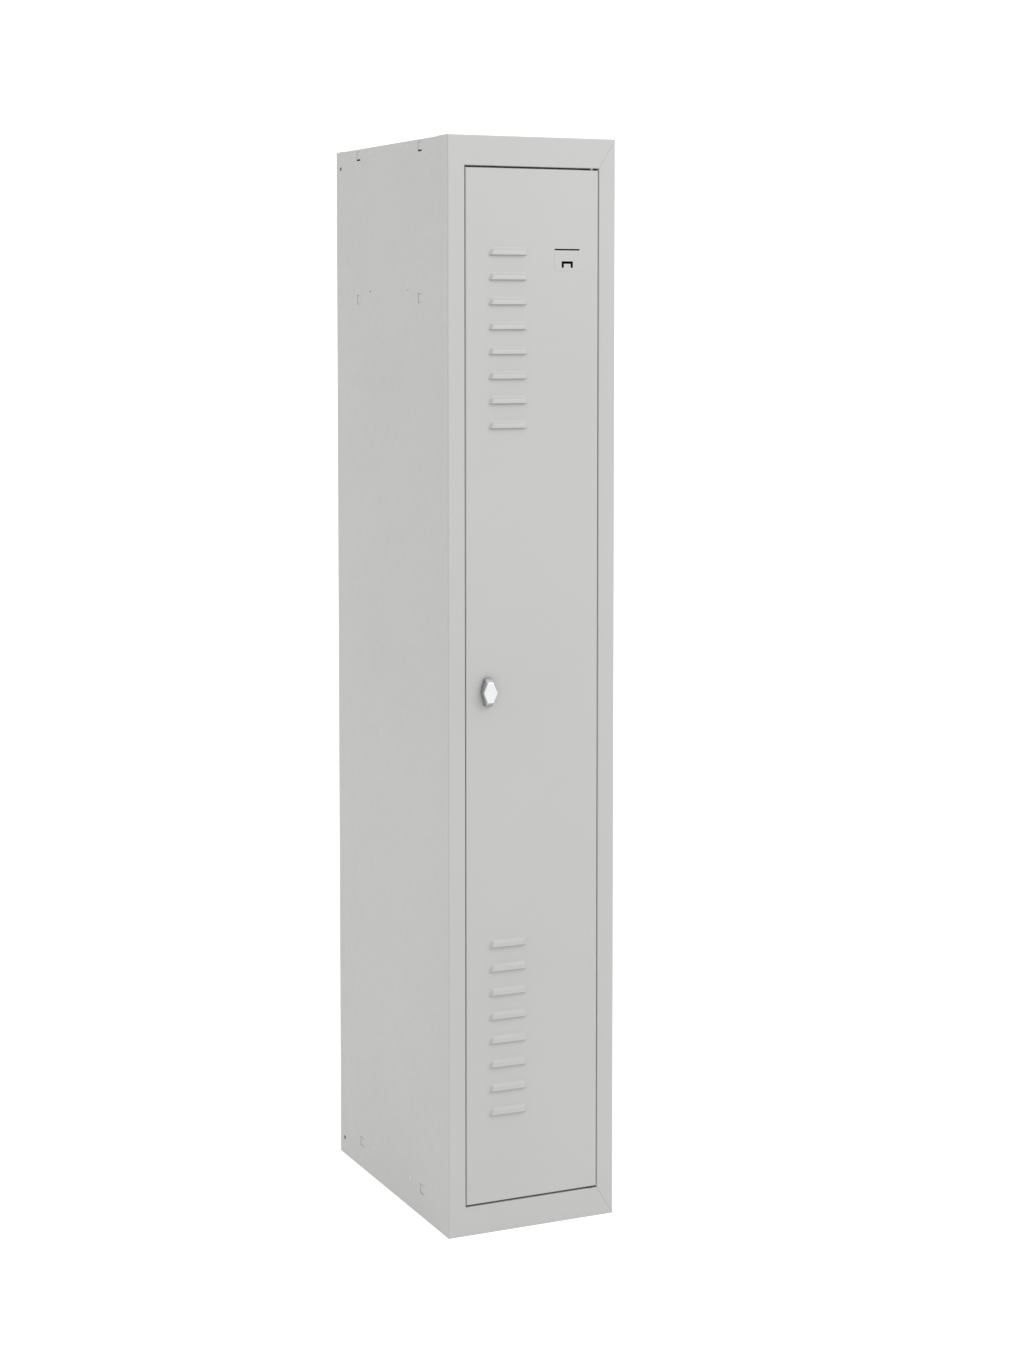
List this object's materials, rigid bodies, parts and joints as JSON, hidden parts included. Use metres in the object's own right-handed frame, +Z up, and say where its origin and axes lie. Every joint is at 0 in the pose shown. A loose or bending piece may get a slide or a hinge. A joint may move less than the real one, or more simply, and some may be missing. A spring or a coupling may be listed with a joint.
{
  "type": "locker cabinet",
  "caption": "Tall narrow sheet-steel locker cabinet with a louvred hinged door, a turning latch knob, a hat shelf and a coat rail with sliding hooks.",
  "frame": {"origin": "centre of the cabinet's footprint on the floor", "axes": "+Z up, +X to the right as one faces the door, +Y from the door to the back"},
  "size_m": [0.3, 0.5145, 1.8],
  "materials": {
    "powder_coat": "satin light grey powder coat with a fine orange-peel texture",
    "zinc_steel": "bright zinc plate",
    "chrome": "polished, with soft cast edges",
    "nylon": "black nylon",
    "hook_plastic": "moulded black plastic",
    "rubber": "matt black rubber"
  },
  "bodies": {
    "cabinet": {"left_side_panel": "powder_coat", "right_side_panel": "powder_coat", "left_upright": "powder_coat", "right_upright": "powder_coat", "left_rear_flange": "powder_coat", "right_rear_flange": "powder_coat", "top_rail": "powder_coat", "bottom_rail": "powder_coat", "top_panel": "powder_coat", "floor_panel": "powder_coat", "hat_shelf": "powder_coat", "back_panel": "powder_coat", "panel_rivets": "zinc_steel", "back_rivets": "zinc_steel", "coat_rail": "zinc_steel", "rail_bracket_left": "zinc_steel", "rail_bracket_right": "zinc_steel", "bracket_rivets": "zinc_steel", "upper_hinge_pin": "zinc_steel", "lower_hinge_pin": "zinc_steel", "thrust_washer": "nylon", "door_buffers": "rubber"},
    "door": {"door_panel": "powder_coat", "door_stiffener": "powder_coat", "upper_hinge_bush": "nylon", "lower_hinge_bush": "nylon", "latch_housing": "chrome", "latch_nut": "zinc_steel"},
    "latch": {"latch_knob": "chrome", "latch_spindle": "zinc_steel", "latch_cam": "zinc_steel", "cam_washer": "zinc_steel", "cam_screw": "zinc_steel"},
    "hook_1": {"coat_hook_1": "hook_plastic"},
    "hook_2": {"coat_hook_2": "hook_plastic"},
    "hook_3": {"coat_hook_3": "hook_plastic"}
  },
  "joints": [
    {"name": "door_hinge", "type": "hinge", "parent": "cabinet", "child": "door", "pos_m": [0.1083, -0.245, 0.9], "axis": [0, 0, 1], "range_deg": [0, 120]},
    {"name": "latch_turn", "type": "hinge", "parent": "door", "child": "latch", "pos_m": [-0.081, -0.25, 0.9], "axis": [0, 1, 0], "range_deg": [0, 90]},
    {"name": "hook_1_slide", "type": "slide", "parent": "cabinet", "child": "hook_1", "axis": [1, 0, 0], "range_m": [-0.058, 0.023]},
    {"name": "hook_2_slide", "type": "slide", "parent": "cabinet", "child": "hook_2", "axis": [1, 0, 0], "range_m": [-0.023, 0.023]},
    {"name": "hook_3_slide", "type": "slide", "parent": "cabinet", "child": "hook_3", "axis": [1, 0, 0], "range_m": [-0.023, 0.058]}
  ]
}
